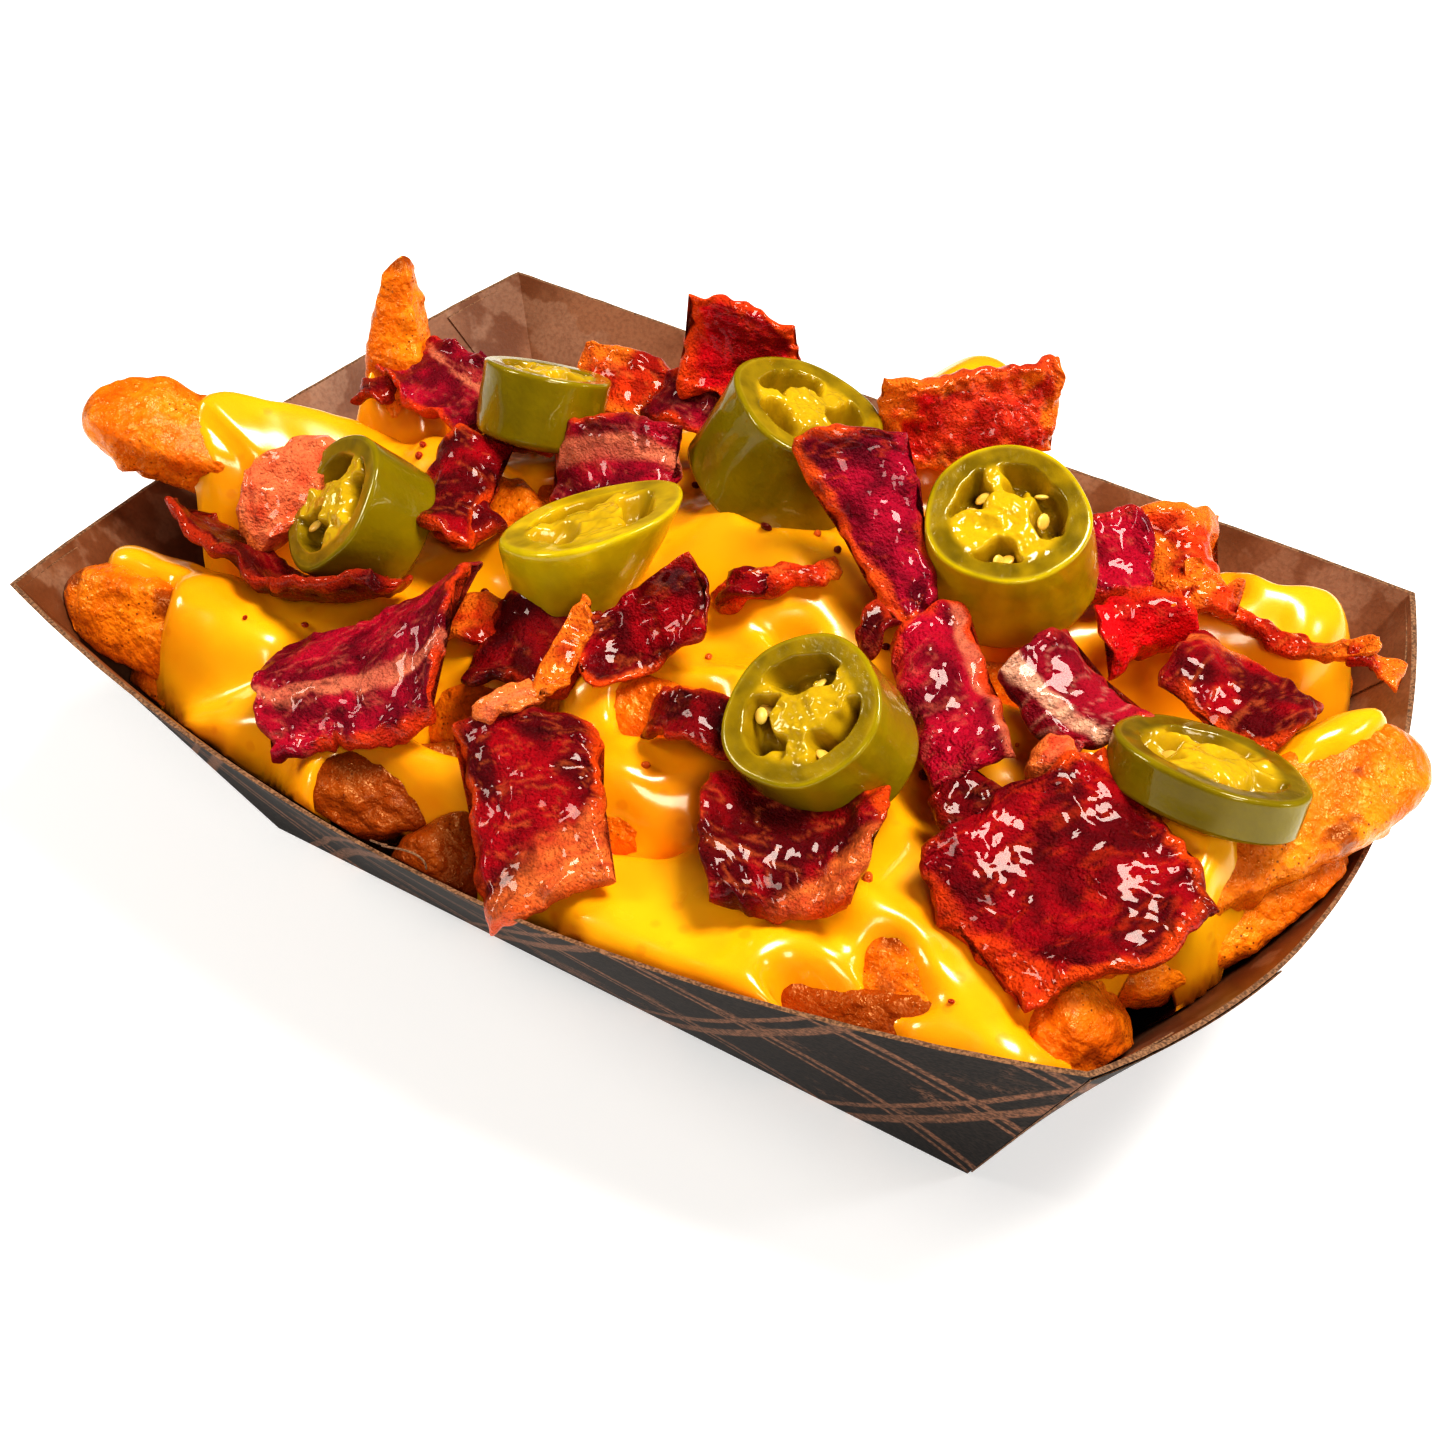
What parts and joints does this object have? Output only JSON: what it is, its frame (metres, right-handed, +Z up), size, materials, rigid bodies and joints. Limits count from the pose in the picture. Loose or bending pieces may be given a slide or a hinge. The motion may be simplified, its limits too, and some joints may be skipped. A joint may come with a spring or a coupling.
{
  "type": "loaded fries in a paper tray",
  "caption": "Folded paperboard tray with bowed sides, heaped with coated potato wedges under cheese sauce, topped with torn bacon pieces and sliced green pepper rings.",
  "frame": {"origin": "the middle of the tray's flat underside", "axes": "+Z up, +X along the tray's length, +Y towards the back long side"},
  "size_m": [0.2125, 0.1472, 0.0877],
  "materials": {
    "paperboard": "brown waxed paperboard, satin, printed dark outside",
    "potato": "seasoned fried crust, rough, slightly oily",
    "cheese": "warm cheese sauce, smooth and glossy",
    "bacon": "glazed fried bacon, dark red lean and paler fat, glossy",
    "pepper": "pickled green pepper, wet and glossy"
  },
  "bodies": {
    "root": {"tray": "paperboard", "pepper_back_left": "pepper", "pepper_back": "pepper", "pepper_left": "pepper", "pepper_pale": "pepper", "pepper_tall": "pepper", "pepper_front": "pepper", "pepper_flat_right": "pepper", "bacon_back_left": "bacon", "bacon_fat_lump": "bacon", "bacon_ribbon_left": "bacon", "bacon_folded": "bacon", "bacon_wing": "bacon", "bacon_dark_middle": "bacon", "bacon_tall_front": "bacon", "bacon_trough": "bacon", "bacon_dark_strip": "bacon", "bacon_leaning": "bacon", "bacon_standing_back": "bacon", "bacon_slab_back": "bacon", "bacon_crisp_back": "bacon", "bacon_pale_middle": "bacon", "bacon_bright_right": "bacon", "bacon_rough_right": "bacon", "bacon_red_cup": "bacon", "bacon_twisted_strip": "bacon", "bacon_crinkled_right": "bacon", "bacon_curled_right": "bacon", "bacon_purple_middle": "bacon", "bacon_square_front": "bacon", "bacon_thin_crisp": "bacon", "bacon_crisp_left": "bacon", "cheese_sauce": "cheese", "fries_heap": "potato"}
  },
  "joints": []
}
